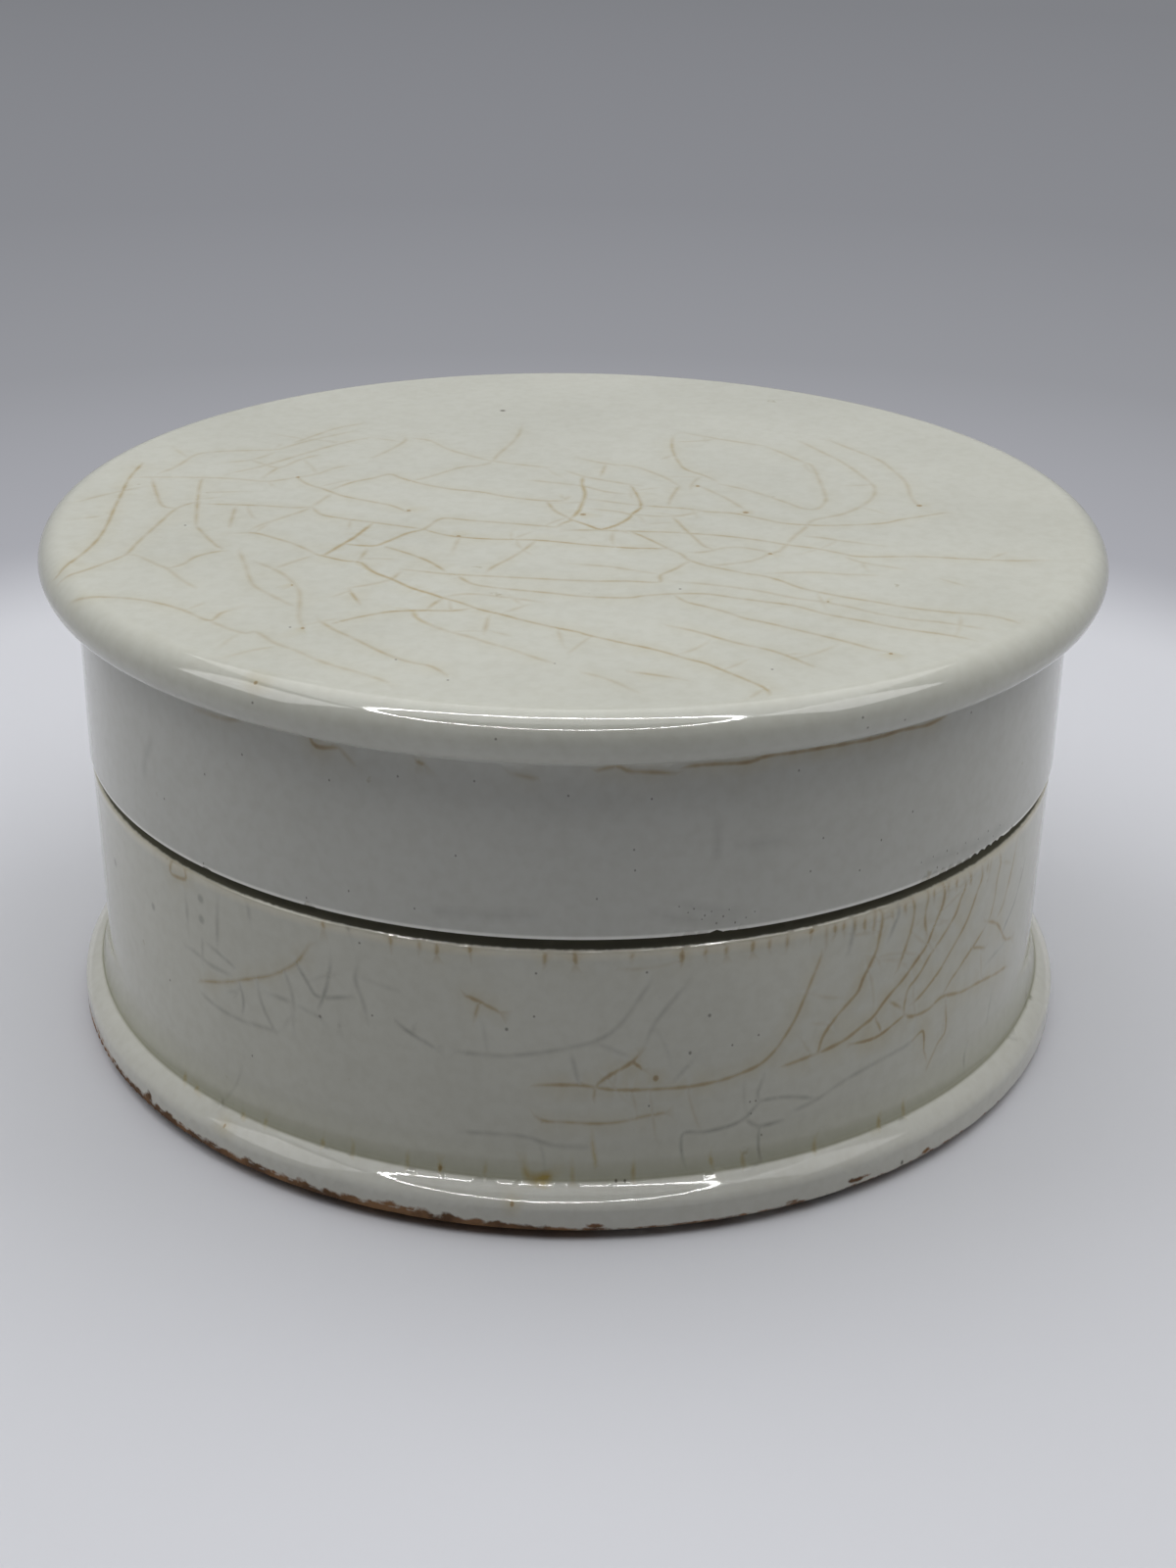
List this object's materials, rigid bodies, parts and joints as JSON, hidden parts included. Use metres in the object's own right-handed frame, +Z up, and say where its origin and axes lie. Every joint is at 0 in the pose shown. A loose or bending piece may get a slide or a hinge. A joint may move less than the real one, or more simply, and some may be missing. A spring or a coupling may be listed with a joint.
{
  "type": "lidded stoneware pot",
  "caption": "Round glazed stoneware pot with a spreading foot, an inner rim and a flat lift-off lid with a beaded edge, for keeping paste or colour.",
  "frame": {"origin": "centre of the foot ring, on the surface that the pot stands on", "axes": "+Z up along the axis of revolution, -Y towards the side that the picture shows"},
  "size_m": [0.105, 0.105, 0.0506],
  "materials": {
    "pot_glaze": "gloss glaze, crazed and stained, bare stained edge under the foot",
    "lid_glaze": "gloss glaze, crazed"
  },
  "bodies": {
    "pot": {"pot": "pot_glaze"},
    "lid": {"lid": "lid_glaze"}
  },
  "joints": [
    {"name": "lid_lift", "type": "slide", "parent": "pot", "child": "lid", "axis": [0, 0, 1], "range_m": [0, 0.06]}
  ]
}
